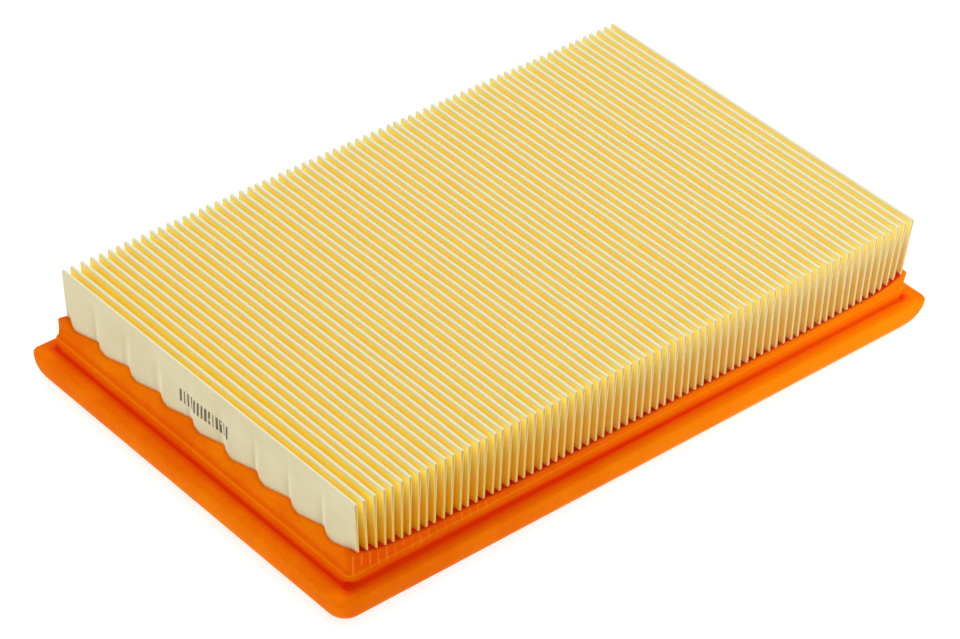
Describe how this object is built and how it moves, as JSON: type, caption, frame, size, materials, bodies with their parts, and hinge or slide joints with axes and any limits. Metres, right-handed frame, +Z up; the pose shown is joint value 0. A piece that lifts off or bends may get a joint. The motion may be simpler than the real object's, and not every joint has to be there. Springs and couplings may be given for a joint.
{
  "type": "panel air filter",
  "caption": "Rectangular panel air filter: a tall pack of pleated yellow paper set in an orange moulded seal frame with a sealing lip all round.",
  "frame": {"origin": "centre of the frame's underside", "axes": "+X along the long side, +Y along the pleats across the short side, +Z up out of the dirty side, towards the fold tips"},
  "size_m": [0.29, 0.184, 0.0485],
  "materials": {
    "polyurethane": "soft satin, cast skin",
    "filter_paper": "matte, resin-treated, slightly translucent",
    "edge_adhesive": "dull, waxy"
  },
  "bodies": {
    "root": {"seal_frame": "polyurethane", "pleated_paper": "filter_paper", "edge_glue_seam_front": "edge_adhesive", "edge_glue_seam_rear": "edge_adhesive"}
  },
  "joints": []
}
